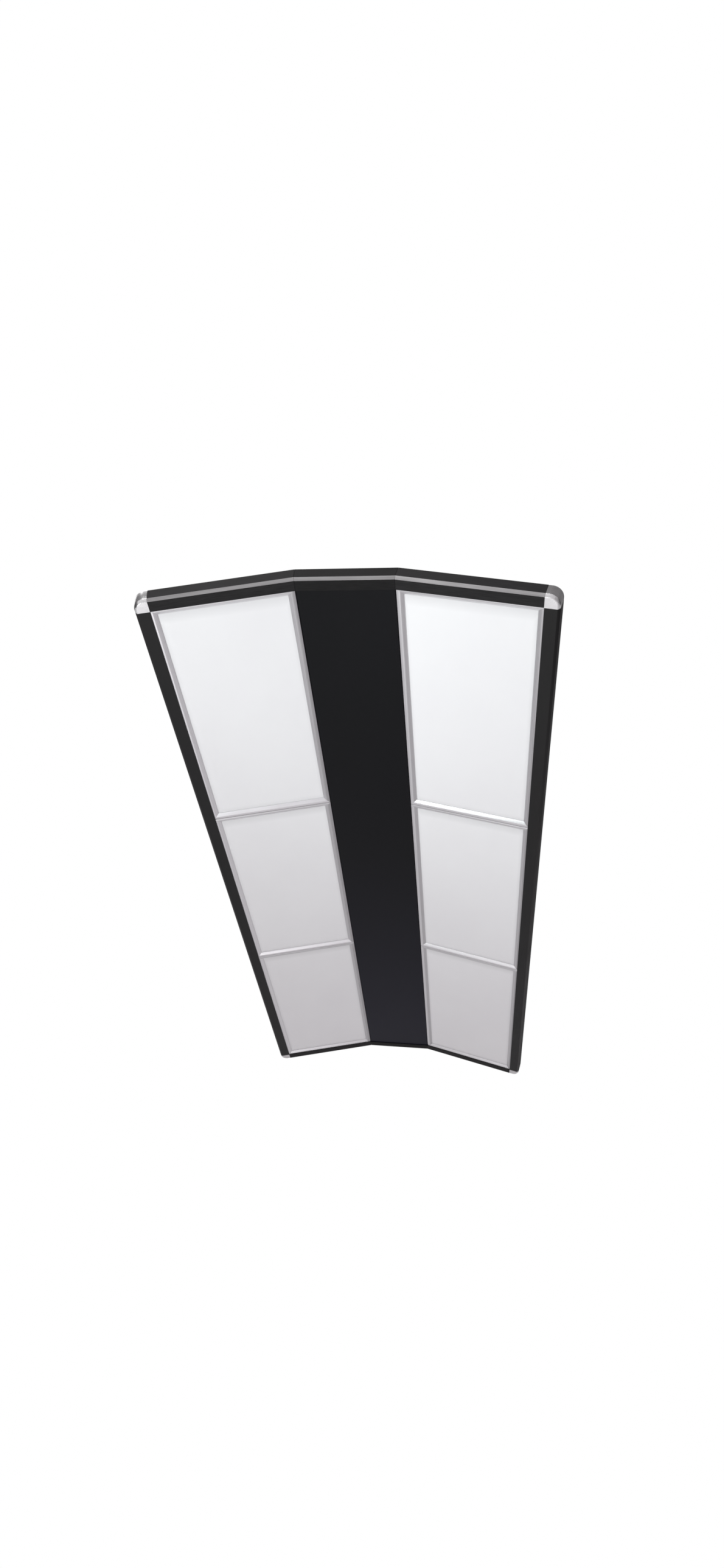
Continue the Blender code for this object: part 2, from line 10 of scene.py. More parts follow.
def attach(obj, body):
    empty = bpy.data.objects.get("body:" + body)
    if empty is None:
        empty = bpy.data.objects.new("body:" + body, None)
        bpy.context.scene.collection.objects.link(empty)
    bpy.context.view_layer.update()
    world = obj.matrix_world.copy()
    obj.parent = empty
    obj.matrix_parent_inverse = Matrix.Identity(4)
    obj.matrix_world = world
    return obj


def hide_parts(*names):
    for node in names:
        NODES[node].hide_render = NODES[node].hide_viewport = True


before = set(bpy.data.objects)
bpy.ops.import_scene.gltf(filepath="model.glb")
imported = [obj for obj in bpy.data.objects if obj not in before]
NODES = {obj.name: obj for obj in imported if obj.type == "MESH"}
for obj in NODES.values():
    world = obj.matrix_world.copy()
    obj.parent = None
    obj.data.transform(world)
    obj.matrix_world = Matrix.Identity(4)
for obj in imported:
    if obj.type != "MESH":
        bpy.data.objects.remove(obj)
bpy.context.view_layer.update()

# ------------------------------------------------------------- main dimensions
GAP = 0.0003
ALPHA = math.radians(13.7)
HALF_SPINE = 0.0970
RAIL_H, RAIL_T = 0.0350, 0.0016
CHAMFER_W, CHAMFER_H = 0.0045, 0.0065
PANEL_W, PANEL_L, PANEL_GAP = 0.2850, 0.5950, 0.0010
PANEL_S0, PANEL_H0, PANEL_H = 0.0008, 0.0019, 0.0250
FRAME_T, FRAME_LIP, FRAME_BEVEL, FRAME_BEVEL_H, LEDGE_H = 0.0016, 0.0072, 0.0070, 0.0045, 0.0057
BACK_T = 0.0009
TOP_LIP = 0.0180
CAP_R = 0.0220
COVER_T = 0.0015
Z_UNDER = -(COVER_T + GAP) - RAIL_H
HALF_PANELS = (3 * PANEL_L + 2 * PANEL_GAP) / 2
S_VISIBLE = PANEL_S0 + PANEL_W - 0.0035
S_EDGE = S_VISIBLE + 0.0245
S_OUT = S_EDGE + CHAMFER_W
Y_VISIBLE = HALF_PANELS - 0.0030
Y_EDGE = Y_VISIBLE + 0.0223
Y_OUT = Y_EDGE + CHAMFER_W
HINGE_H = 0.0383
TAN_HALF = math.tan(ALPHA / 2)
X_HINGE = HALF_SPINE + HINGE_H * TAN_HALF
Z_HINGE = Z_UNDER + HINGE_H
KNUCKLE_R, BORE_R, PIN_R = 0.0035, 0.0022, 0.0019
LEAF_W, LEAF_T, HINGE_HALF_L, KNUCKLES = 0.0250, 0.0015, 0.8800, 18
HINGE_BOTTOM = RAIL_H + GAP - HINGE_H
HINGE_TOP = HINGE_BOTTOM + LEAF_T

ca, sa = math.cos(ALPHA), math.sin(ALPHA)
WING = {"right": Matrix(((ca, 0, sa, HALF_SPINE), (0, 1, 0, 0), (-sa, 0, ca, Z_UNDER), (0, 0, 0, 1)))}
WING["left"] = Matrix.Rotation(math.pi, 4, "Z") @ WING["right"]
HINGE = {"right": Matrix.Translation((X_HINGE, 0, Z_HINGE)),
         "left": Matrix.Translation((-X_HINGE, 0, Z_HINGE)) @ Matrix.Rotation(math.pi, 4, "Z")}
TILT = Matrix.Rotation(ALPHA, 4, "Y")


# ------------------------------------------------------------------- materials
class Nodes:
    """A small helper that builds one procedural material."""

    def __init__(self, name):
        self.material = bpy.data.materials.new(name)
        self.material.use_nodes = True
        self.tree = self.material.node_tree
        self.shader = self.tree.nodes["Principled BSDF"]
        self.coords = self.tree.nodes.new("ShaderNodeTexCoord").outputs["Object"]

    def level(self, tilt):
        """Turns the pattern about Y, to lie along a sloping part."""
        if tilt:
            node = self.tree.nodes.new("ShaderNodeMapping")
            node.inputs["Rotation"].default_value = (0, tilt, 0)
            self.link(self.coords, node.inputs["Vector"])
            self.coords = node.outputs["Vector"]
        return self

    def set(self, **values):
        for key, value in values.items():
            self.shader.inputs[key.replace("_", " ")].default_value = value
        return self

    def link(self, a, b):
        self.tree.links.new(a, b)

    def scaled(self, scale, offset=(0, 0, 0)):
        node = self.tree.nodes.new("ShaderNodeMapping")
        node.inputs["Scale"].default_value = scale
        node.inputs["Location"].default_value = offset
        self.link(self.coords, node.inputs["Vector"])
        return node.outputs["Vector"]

    def noise(self, scale, detail=2.0, rough=0.5, stretch=(1, 1, 1), offset=(0, 0, 0)):
        node = self.tree.nodes.new("ShaderNodeTexNoise")
        node.inputs["Scale"].default_value = scale
        node.inputs["Detail"].default_value = detail
        node.inputs["Roughness"].default_value = rough
        self.link(self.scaled(stretch, offset), node.inputs["Vector"])
        return node.outputs["Fac"]

    def voronoi(self, scale, feature="F1", stretch=(1, 1, 1), offset=(0, 0, 0), out="Distance"):
        node = self.tree.nodes.new("ShaderNodeTexVoronoi")
        node.feature = feature
        node.inputs["Scale"].default_value = scale
        self.link(self.scaled(stretch, offset), node.inputs["Vector"])
        return node.outputs[out]

    def remap(self, value, low, high, start=0.3, stop=0.7):
        node = self.tree.nodes.new("ShaderNodeMapRange")
        for key, number in (("From Min", start), ("From Max", stop), ("To Min", low), ("To Max", high)):
            node.inputs[key].default_value = number
        self.link(value, node.inputs["Value"])
        return node.outputs["Result"]

    def math(self, operation, a, b):
        node = self.tree.nodes.new("ShaderNodeMath")
        node.operation = operation
        for socket, value in zip(node.inputs, (a, b)):
            if isinstance(value, (int, float)):
                socket.default_value = value
            else:
                self.link(value, socket)
        return node.outputs[0]

    def blend(self, factor, a, b, mode="MIX"):
        node = self.tree.nodes.new("ShaderNodeMix")
        node.data_type = "RGBA"
        node.blend_type = mode
        self.link(factor, node.inputs["Factor"])
        for socket, value in ((node.inputs[6], a), (node.inputs[7], b)):
            if isinstance(value, tuple):
                socket.default_value = (*value, 1.0)
            else:
                self.link(value, socket)
        return node.outputs[2]

    def colour(self, value):
        self.link(value, self.shader.inputs["Base Color"])
        return self

    def roughness(self, value):
        self.link(value, self.shader.inputs["Roughness"])
        return self

    def bump(self, height, strength, distance):
        node = self.tree.nodes.new("ShaderNodeBump")
        node.inputs["Strength"].default_value = strength
        node.inputs["Distance"].default_value = distance
        self.link(height, node.inputs["Height"])
        self.link(node.outputs["Normal"], self.shader.inputs["Normal"])
        return self


def black_extrusion(name, along, tilt=0.0, shade=1.0, gloss=0.12, rough=0.52):
    """Satin black anodised extrusion with fine draw lines along its length."""
    m = Nodes(name).level(tilt).set(Metallic=0.0, Specular_IOR_Level=gloss)
    fine = tuple(34 if axis == along else 760 for axis in "XYZ")
    broad = tuple(1.2 if axis == along else 140 for axis in "XYZ")
    lines = m.noise(1.0, 3, 0.6, fine)
    bands = m.noise(1.0, 2, 0.5, broad, (3, 1, 7))
    cloud = m.noise(9.0, 3, 0.55)
    dark, light, even = [tuple(shade * v for v in c) for c in
                         ((0.0088, 0.0084, 0.0088), (0.0255, 0.0245, 0.0253), (0.0165, 0.0158, 0.0164))]
    grain = m.blend(m.remap(lines, 0, 1), dark, light)
    tone = m.blend(m.remap(bands, 0, 0.55), grain, even)
    m.colour(tone)
    m.roughness(m.math("ADD", m.remap(lines, rough, rough + 0.12), m.remap(cloud, -0.03, 0.05)))
    m.bump(m.math("ADD", lines, m.math("MULTIPLY", bands, 0.6)), 0.25, 0.00006)
    return m.material


def black_sheet(name, far):
    """Fine-textured black powder coat, with a painted sheen: lighter towards the far end."""
    m = Nodes(name).set(Metallic=0.0, Specular_IOR_Level=0.135)
    grain = m.noise(1700, 2, 0.6)
    pebble = m.voronoi(1100, "SMOOTH_F1")
    cloud = m.noise(4.5, 4, 0.6, (1, 0.55, 1))
    smear = m.noise(2.2, 3, 0.5, (2.6, 0.5, 1), (4, 2, 0))
    base = m.blend(m.remap(grain, 0, 1), (0.0020, 0.0023, 0.0028), (0.0040, 0.0044, 0.0056))
    base = m.blend(m.remap(cloud, 0, 0.6), base, (0.0032, 0.0035, 0.0056))
    axes = m.tree.nodes.new("ShaderNodeSeparateXYZ")
    m.link(m.coords, axes.inputs[0])
    # painted sheen: the colour turns to far towards the far end, where the sheet is seen at a glancing angle
    m.colour(m.blend(m.remap(axes.outputs["Y"], 0.0, 1.0, -0.10, 0.75), base, far))
    m.roughness(m.math("ADD", m.remap(smear, 0.30, 0.40), m.remap(grain, -0.03, 0.03)))
    m.bump(m.math("ADD", grain, m.math("MULTIPLY", pebble, 0.8)), 0.22, 0.00009)
    return m.material


def brushed(name, along, dark, light, low, high, bump=0.2, metal=1.0, tilt=0.0):
    """Brushed or satin metal with lines along one direction."""
    m = Nodes(name).level(tilt).set(Metallic=metal)
    fine = tuple(7 if axis == along else 1300 for axis in "XYZ")
    lines = m.noise(1.0, 3, 0.65, fine)
    streaks = m.noise(1.0, 2, 0.5, tuple(1.5 if axis == along else 190 for axis in "XYZ"), (1, 5, 2))
    cloud = m.noise(14, 3, 0.5)
    m.colour(m.blend(m.remap(m.math("ADD", m.math("MULTIPLY", lines, 0.6), m.math("MULTIPLY", streaks, 0.4)),
                             0, 1), dark, light))
    m.roughness(m.math("ADD", m.remap(lines, low, high), m.remap(cloud, -0.03, 0.04)))
    m.bump(lines, bump, 0.00004)
    return m.material


def plated(name, bright, dimmer, metal, rough):
    """Bright plated casting, faintly rippled and marked."""
    m = Nodes(name).set(Metallic=metal)
    ripple = m.noise(150, 2, 0.45)
    specks = m.noise(900, 2, 0.6)
    wear = m.noise(60, 4, 0.6, (1, 1, 1), (2, 9, 4))
    m.colour(m.blend(m.remap(wear, 0, 1, 0.35, 0.75), bright, dimmer))
    m.roughness(m.math("ADD", m.remap(wear, rough, rough + 0.10), m.remap(specks, -0.02, 0.04)))
    m.bump(m.math("ADD", ripple, m.math("MULTIPLY", specks, 0.12)), 0.30, 0.00025)
    return m.material


def opal():
    """Satin opal sheet: a hazy surface over a bright, slightly uneven body, with painted shade along the frame bars."""
    m = Nodes("finish_opal_diffuser").set(Metallic=0.0, Specular_IOR_Level=0.35, Subsurface_Weight=0.10,
                                          Subsurface_Scale=0.004, Subsurface_Radius=(1.0, 1.0, 1.0))
    haze = m.noise(3.2, 4, 0.55, (1, 0.8, 1))
    fine = m.noise(1500, 2, 0.6)
    cells = m.voronoi(850, "SMOOTH_F1")
    body = m.blend(m.remap(haze, 0, 1), (0.850, 0.842, 0.858), (0.885, 0.882, 0.892))
    body = m.blend(m.remap(fine, 0, 0.25), body, (0.865, 0.860, 0.875))
    axes = m.tree.nodes.new("ShaderNodeSeparateXYZ")
    m.link(m.coords, axes.inputs[0])
    pitch, bar = PANEL_L + PANEL_GAP, FRAME_LIP + FRAME_BEVEL
    along = m.math("MULTIPLY", m.math("FRACT", m.math("DIVIDE", m.math("ADD", axes.outputs["Y"], HALF_PANELS), pitch), 0.0),
                   pitch)
    across = m.math("DIVIDE", m.math("SUBTRACT", m.math("ABSOLUTE", axes.outputs["X"], 0.0), HALF_SPINE + 0.002), ca)
    sides = m.math("MINIMUM", across, m.math("SUBTRACT", PANEL_W, across))
    # painted shade: beside the frame bars the sheet darkens to grey. This reaches 26 mm in at each panel's near end,
    # where the near bar's shadow falls, and less at the far end and the long sides
    dimmer = m.math("MAXIMUM", m.remap(along, 0.85, 0.0, bar - 0.001, bar + 0.026),
                  m.math("MAXIMUM", m.remap(m.math("SUBTRACT", PANEL_L, along), 0.45, 0.0, bar - 0.001, bar + 0.012),
                         m.remap(sides, 0.45, 0.0, bar - 0.001, bar + 0.008)))
    m.colour(m.blend(dimmer, body, (0.70, 0.695, 0.705)))
    m.roughness(m.math("ADD", m.remap(haze, 0.42, 0.52), m.remap(fine, -0.03, 0.03)))
    m.bump(m.math("ADD", fine, m.math("MULTIPLY", cells, 0.7)), 0.12, 0.00005)
    return m.material


def coated_white():
    """White coil-coated sheet with a light orange peel and some dust."""
    m = Nodes("finish_panel_back").set(Metallic=0.0, Specular_IOR_Level=0.32)
    peel = m.noise(420, 2, 0.5)
    dust = m.noise(11, 5, 0.65)
    specks = m.noise(240, 2, 0.7, (1, 1, 1), (8, 3, 1))
    clean = m.blend(m.remap(peel, 0, 1), (0.60, 0.605, 0.61), (0.64, 0.645, 0.65))
    dusty = m.blend(m.remap(dust, 0, 0.7, 0.45, 0.8), clean, (0.56, 0.55, 0.53))
    m.colour(m.blend(m.remap(specks, 0, 0.5, 0.66, 0.8), dusty, (0.42, 0.41, 0.39)))
    m.roughness(m.math("ADD", m.remap(dust, 0.50, 0.68), m.remap(peel, -0.03, 0.03)))
    m.bump(peel, 0.15, 0.00012)
    return m.material


def zinc(name="finish_zinc_steel", dark=(0.42, 0.42, 0.43), light=(0.60, 0.60, 0.61)):
    """Bright zinc plating: small crystals, a cool tint and dull patches."""
    m = Nodes(name).set(Metallic=1.0)
    spangle = m.voronoi(320, "F1", (1, 0.5, 1), (0, 0, 0), "Color")
    split = m.tree.nodes.new("ShaderNodeSeparateColor")
    m.link(spangle, split.inputs["Color"])
    patch = m.noise(38, 4, 0.6)
    lines = m.noise(1.0, 2, 0.6, (700, 14, 700))
    tone = m.blend(m.remap(split.outputs["Red"], 0, 0.6, 0, 1), light, dark)
    m.colour(m.blend(m.remap(patch, 0, 0.55, 0.4, 0.75), tone, (0.46, 0.455, 0.44)))
    m.roughness(m.math("ADD", m.remap(patch, 0.26, 0.44), m.remap(split.outputs["Green"], -0.04, 0.05, 0, 1)))
    m.bump(m.math("ADD", lines, split.outputs["Blue"]), 0.08, 0.00005)
    return m.material


def moulded(name, dark, light, low, high):
    """Spark-textured moulded plastic."""
    m = Nodes(name).set(Metallic=0.0, Specular_IOR_Level=0.4)
    spark = m.noise(1500, 3, 0.7)
    flow = m.noise(70, 3, 0.5)
    m.colour(m.blend(m.remap(flow, 0, 1), dark, light))
    m.roughness(m.math("ADD", m.remap(spark, low, high), m.remap(flow, -0.03, 0.03)))
    m.bump(spark, 0.25, 0.00008)
    return m.material


def board():
    """White solder mask with warm rows of emitters and faint tracks."""
    m = Nodes("finish_led_board").set(Metallic=0.0, Specular_IOR_Level=0.4)
    mask = m.noise(600, 2, 0.5)
    chips = m.tree.nodes.new("ShaderNodeTexBrick")
    chips.offset = 0.0
    chips.inputs["Color1"].default_value = (0.86, 0.70, 0.22, 1)
    chips.inputs["Color2"].default_value = (0.83, 0.66, 0.20, 1)
    chips.inputs["Mortar"].default_value = (0.82, 0.82, 0.80, 1)
    for key, value in (("Scale", 1.0), ("Mortar Size", 0.004), ("Brick Width", 0.011), ("Row Height", 0.0143)):
        chips.inputs[key].default_value = value
    m.link(m.coords, chips.inputs["Vector"])
    m.colour(m.blend(m.remap(mask, 0, 0.3), chips.outputs["Color"], (0.80, 0.80, 0.78)))
    m.roughness(m.remap(mask, 0.42, 0.56))
    m.bump(mask, 0.1, 0.00006)
    return m.material


TILTS = {"spine": 0.0, "left": ALPHA, "right": -ALPHA}
RAIL_Y = black_extrusion("finish_black_rail_long", "Y", 0.0, 0.30, 0.31, 0.42)
# painted light and shade: the spine's cross rail is a darker copy (0.66), and the wings' cross rails lighter copies
# (1.1), of one black finish, by how the light falls on each
RAIL_X_LIT_BY_PART = {k: black_extrusion(f"finish_black_rail_cross_{k}", "X", t, 1.1 if t else 0.66)
          for k, t in TILTS.items()}
# the spine's far colour is a painted bluish sheen; the cover's is a fainter one
SHEET = black_sheet("finish_black_sheet", (0.0060, 0.0062, 0.0150))
COVER = black_sheet("finish_black_cover", (0.0036, 0.0039, 0.0052))
# painted light: the bright trim is darker on the spine (0.29) and lighter on the left (0.34) and right (0.36) wings, by
# how the light falls on each
TRIM_LIT_BY_SIDE = {k: brushed(f"finish_bright_trim_{k}", "X", (low, 0.99 * low, low), (low + 0.2, 0.99 * low + 0.2, low + 0.2),
                   0.30, 0.42, tilt=TILTS[k]) for k, low in (("spine", 0.29), ("left", 0.34), ("right", 0.36))}


def silver(name, along, tone, tilt=0.0):
    """Satin anodised frame bar, brushed along its length."""
    low, high = tone - 0.06, tone + 0.06
    return brushed(f"finish_silver_{name}", along, (low, 0.992 * low, 1.015 * low), (high, 0.992 * high, 1.015 * high),
                   0.29, 0.39, 0.14, 0.9, tilt)


SILVER_Y = silver("bar", "Y", 0.70)
# painted light and shade: the lip and bevel of the four bars of a frame (towards the left, the right, the near end and
# the far end) are lighter and darker copies of one silver finish, set by how the light falls on each
LIT_AND_SHADED_BARS = {k: [silver(f"{k}_left_lip", "Y", 0.81), silver(f"{k}_left_bevel", "Y", left),
            silver(f"{k}_right_lip", "Y", 0.50), silver(f"{k}_right_bevel", "Y", right),
            silver(f"{k}_near_lip", "X", 0.62, TILTS[k]), silver(f"{k}_near_bevel", "X", 0.82, TILTS[k]),
            silver(f"{k}_far_lip", "X", 0.88, TILTS[k])]
        for k, left, right in (("left", 0.86, 0.65), ("right", 0.60, 0.68))}
# painted highlight: the three frames of a wing differ in the tone of the bevel towards the far end, by the highlight
# each catches
LIT_AND_SHADED_FRAMES = {k: [LIT_AND_SHADED_BARS[k] + [silver(f"{k}_far_bevel_{n}", "X", far, TILTS[k])] for n, far in enumerate(tones, 1)]
              for k, tones in (("left", (0.90, 0.88, 0.68)), ("right", (0.46, 0.70, 0.58)))}
CHROME = plated("finish_corner_chrome", (0.84, 0.84, 0.845), (0.60, 0.60, 0.605), 1.0, 0.19)
# a lighter, half-diffuse copy of the plating. It gives a painted highlight on the caps' foot and on the flank's
# straight runs, beside the chrome wall and arc
PAINTED_HIGHLIGHT_PLATING = plated("finish_corner_painted_highlight", (0.74, 0.73, 0.74), (0.66, 0.65, 0.66), 0.55, 0.24)
OPAL = opal()
BACK = coated_white()
ZINC = zinc()
SCREW = zinc("finish_screw_steel", (0.36, 0.36, 0.37), (0.55, 0.55, 0.56))
DRIVER = brushed("finish_driver_case", "Y", (0.52, 0.53, 0.54), (0.62, 0.63, 0.64), 0.34, 0.48, 0.12)
NYLON = moulded("finish_black_nylon", (0.014, 0.014, 0.015), (0.024, 0.024, 0.025), 0.42, 0.58)
RUBBER = moulded("finish_black_rubber", (0.010, 0.010, 0.010), (0.018, 0.018, 0.018), 0.62, 0.78)
TERMINAL = moulded("finish_terminal_nylon", (0.50, 0.50, 0.46), (0.58, 0.58, 0.54), 0.40, 0.55)
BOARD = board()


def finish_of(node):
    """The finish of a node that is shown as it is."""
    part = node.split("_")[0] if node.split("_")[0] in TILTS else "spine"
    rules = (("side_rail", RAIL_Y), ("inner_rail", RAIL_Y), ("end_rail", RAIL_X_LIT_BY_PART[part]), ("end_trim", TRIM_LIT_BY_SIDE[part]),
             ("corner_cap", CHROME), ("panel_frame", SILVER_Y), ("diffuser", OPAL), ("led_board", BOARD),
             ("panel_back", BACK), ("driver", DRIVER), ("terminal", TERMINAL), ("gland", NYLON),
             ("hinge", ZINC), ("hanger", ZINC), ("d_ring", ZINC), ("spine_channel", SHEET),
             ("spine_top_cover", COVER))
    for key, surface in rules:
        if key in node:
            return surface
    raise ValueError(node)


def soften(obj, width, segments=2, angle=28):
    """Joins the facets of a node and rounds its edges a little."""
    weld = obj.modifiers.new("weld", "WELD")
    weld.merge_threshold = 0.00002
    flat = obj.modifiers.new("flat", "DECIMATE")
    flat.decimate_type = "DISSOLVE"
    flat.angle_limit = math.radians(0.5)
    bevel = obj.modifiers.new("edges", "BEVEL")
    bevel.width = width
    bevel.segments = segments
    bevel.limit_method = "ANGLE"
    bevel.angle_limit = math.radians(angle)
    bevel.use_clamp_overlap = True


EDGES = (("side_rail", 0.00055), ("end_rail", 0.0003), ("inner_rail", 0.0004),
         ("spine_channel", 0.0005), ("spine_top_cover", 0.0005), ("hanger_bar", 0.0006), ("diffuser", 0.0003),
         ("panel_back", 0.0003), ("driver", 0.0008), ("terminal", 0.0005), ("led_board", 0.0002))
for name, obj in NODES.items():
    surface = finish_of(name)
    for slot in obj.material_slots:
        slot.material = surface
    for key, width in EDGES:
        if key in name:
            soften(obj, width)


# --------------------------------------------------------------- mesh helpers
def new_piece(name, bm, surfaces, body, matrix=None, smooth=None, stands_for=()):
    """A finished piece that rides on a body."""
    if matrix is not None:
        bmesh.ops.transform(bm, matrix=matrix, verts=bm.verts)
        if matrix.to_3x3().determinant() < 0:
            bmesh.ops.reverse_faces(bm, faces=bm.faces)
    mesh = bpy.data.meshes.new(name)
    bm.to_mesh(mesh)
    bm.free()
    for surface in surfaces:
        mesh.materials.append(surface)
    if smooth is not None:
        mesh.shade_smooth()
        mesh.set_sharp_from_angle(angle=math.radians(smooth))
    obj = bpy.data.objects.new(name, mesh)
    bpy.context.scene.collection.objects.link(obj)
    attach(obj, body)
    if stands_for:
        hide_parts(*stands_for)
    return obj


def loft(rings, closed_rows=False, cap=True):
    """Rings of points of equal count, joined into one closed skin."""
    bm = bmesh.new()
    rows = [[bm.verts.new(p) for p in ring] for ring in rings]
    pairs = list(zip(rows, rows[1:]))
    if closed_rows:
        pairs.append((rows[-1], rows[0]))
    count = len(rows[0])
    for a, b in pairs:
        for i in range(count):
            j = (i + 1) % count
            bm.faces.new((a[i], a[j], b[j], b[i]))
    if cap and not closed_rows:
        bm.faces.new(list(reversed(rows[0])))
        bm.faces.new(rows[-1])
    bmesh.ops.recalc_face_normals(bm, faces=bm.faces)
    return bm


def turned(profile, sides, closed=False):
    """(radius, z) points turned about Z. An open profile starts and ends on the axis."""
    bm = bmesh.new()
    rows = []
    for r, z in profile:
        if r < 1e-7:
            rows.append([bm.verts.new((0, 0, z))])
        else:
            rows.append([bm.verts.new((r * math.cos(2 * math.pi * i / sides),
                                       r * math.sin(2 * math.pi * i / sides), z)) for i in range(sides)])
    pairs = list(zip(rows, rows[1:]))
    if closed:
        pairs.append((rows[-1], rows[0]))
    for a, b in pairs:
        for i in range(sides):
            j = (i + 1) % sides
            ring = [a[i % len(a)], a[j % len(a)], b[j % len(b)], b[i % len(b)]]
            ring = [v for k, v in enumerate(ring) if v not in ring[:k]]
            if len(ring) > 2:
                bm.faces.new(ring)
    bmesh.ops.recalc_face_normals(bm, faces=bm.faces)
    return bm


def cut(bm, cutter, operation="DIFFERENCE"):
    """bm with another bmesh taken away from it, or joined to it."""
    holders = []
    for part in (bm, cutter):
        mesh = bpy.data.meshes.new("work")
        part.to_mesh(mesh)
        part.free()
        holder = bpy.data.objects.new("work", mesh)
        bpy.context.scene.collection.objects.link(holder)
        holders.append(holder)
    modifier = holders[0].modifiers.new("cut", "BOOLEAN")
    modifier.operation = operation
    modifier.solver = "EXACT"
    modifier.object = holders[1]
    bpy.context.view_layer.update()
    graph = bpy.context.evaluated_depsgraph_get()
    mesh = bpy.data.meshes.new_from_object(holders[0].evaluated_get(graph))
    made = bmesh.new()
    made.from_mesh(mesh)
    for holder in holders:
        old = holder.data
        bpy.data.objects.remove(holder, do_unlink=True)
        bpy.data.meshes.remove(old)
    bpy.data.meshes.remove(mesh)
    return made


def block(low, high):
    bm = bmesh.new()
    bmesh.ops.create_cube(bm, size=1.0)
    for v in bm.verts:
        v.co = [high[i] if v.co[i] > 0 else low[i] for i in range(3)]
    return bm


def together(parts):
    """Several bmeshes as one."""
    whole = bmesh.new()
    for part in parts:
        mesh = bpy.data.meshes.new("work")
        part.to_mesh(mesh)
        part.free()
        whole.from_mesh(mesh)
        bpy.data.meshes.remove(mesh)
    return whole


# ---------------------------------------------------------------- corner caps
def chrome_band_angles(t):
    """The angles round the corner, from the end face, between which the flank keeps the chrome; outside them the flank
    is painted brighter.
    """
    return max(1.5, 33 * (1 - t ** 4) ** 0.25), 61 + 27 * min(1.0, t / 0.65) ** 2


def cap_outline(inset, t):
    """The cap's plan outline, set in from its outer wall, as (s, y) for the far end."""
    centre_s, centre_y = S_OUT - CAP_R, Y_OUT - CAP_R
    r = CAP_R - inset
    first, last = chrome_band_angles(t)
    turns = [90 + (last - 90) * i / 9 for i in range(9)] + [last + (first - last) * i / 14 for i in range(14)]
    turns += [first - first * i / 9 for i in range(10)]
    points = [(S_VISIBLE, Y_VISIBLE), (S_OUT - inset, Y_VISIBLE)]
    points += [(centre_s + r * math.sin(math.radians(a)), centre_y + r * math.cos(math.radians(a))) for a in turns]
    points += [(S_VISIBLE, Y_OUT - inset)]
    return points


def between(x, table):
    """A value read off a rising table of (x, value) pairs."""
    for (x0, v0), (x1, v1) in zip(table, table[1:]):
        if x <= x1:
            return v0 + (v1 - v0) * max(0.0, (x - x0) / (x1 - x0))
    return table[-1][1]


def cap_skin(rings):
    """The cap's outside, closed by two plane walls that meet at its inner corner."""
    bm = bmesh.new()
    rows = [[bm.verts.new(p) for p in ring[1:]] for ring in rings]
    low, high = bm.verts.new(rings[0][0]), bm.verts.new(rings[-1][0])
    for a, b in zip(rows, rows[1:]):
        for i in range(len(a) - 1):
            bm.faces.new((a[i], a[i + 1], b[i + 1], b[i]))
    bm.faces.new([low, *rows[0]])
    bm.faces.new([high, *rows[-1]])
    bm.faces.new([low, *(row[0] for row in rows), high])
    bm.faces.new([low, *(row[-1] for row in rows), high])
    bmesh.ops.recalc_face_normals(bm, faces=bm.faces)
    return bm


def cap_bmesh():
    """Plated corner: a flat foot, a fine step round it, a rounded flank and a plain wall; the foot and the flank's
    straight runs carry a painted highlight.
    """
    rows = [(0.0062, 0.0, 0.0), (0.0053, 0.0, 0.0), (0.0049, 0.00015, 0.0), (0.00475, 0.00060, 0.0),
            (0.00455, 0.00070, 0.0), (0.00430, 0.00055, 0.0), (0.00395, 0.00062, 0.0)]
    flank = [(CHAMFER_W * (1 - t) ** 1.15 * 0.86, CHAMFER_H * (0.10 + 0.90 * t ** 1.05), t)
             for t in (0.08, 0.16, 0.26, 0.38, 0.50, 0.62, 0.73, 0.82, 0.89, 0.95)]
    rows += flank
    rows += [(0.00012, CHAMFER_H + 0.0006, 1.0), (0.0, CHAMFER_H + 0.0022, 1.0), (0.0, RAIL_H - 0.0012, 1.0),
             (0.00018, RAIL_H - 0.0006, 1.0), (0.0006, RAIL_H - 0.00018, 1.0), (0.0012, RAIL_H, 1.0)]
    rings = [[(s, y, h) for s, y in cap_outline(inset, t)] for inset, h, t in rows]
    starts = [(h, chrome_band_angles(t)[0]) for _, h, t in [rows[6], *flank, rows[17]]]
    stops = [(h, chrome_band_angles(t)[1]) for _, h, t in [rows[6], *flank, rows[17]]]
    body = cap_skin(rings)
    reach_y = HALF_PANELS + 2 * GAP
    notch = block((S_VISIBLE - 0.01, Y_VISIBLE - 0.01, RAIL_T), (PANEL_S0 + PANEL_W + 2 * GAP, reach_y, RAIL_H + 0.01))
    body = cut(body, notch)
    play = 0.0005
    body = cut(body, block((S_OUT - TOP_LIP, Y_VISIBLE - 0.020, 0.010), (S_OUT - RAIL_T - play, Y_VISIBLE + 0.004, 0.031)),
               "UNION")
    body = cut(body, block((S_VISIBLE - 0.020, Y_OUT - TOP_LIP, 0.010), (S_VISIBLE + 0.004, Y_OUT - RAIL_T - play, 0.031)),
               "UNION")
    for face in body.faces:
        face.normal_update()
        middle = face.calc_center_median()
        across, along = middle.x - (S_OUT - CAP_R), middle.y - (Y_OUT - CAP_R)
        angle = math.degrees(math.atan2(max(across, 0.0), max(along, 1e-9)))
        # painted highlight: the foot and the flank outside the band take the brighter copy; the arc's middle keeps the
        # chrome and shows darker
        painted_bright = angle < between(middle.z, starts) or angle > between(middle.z, stops)
        if face.normal.z < -0.9 and middle.z < 0.0004:
            face.material_index = 1
        elif middle.z < CHAMFER_H and painted_bright and max(across, along) > CAP_R - 0.0062:
            face.material_index = 1
    return body


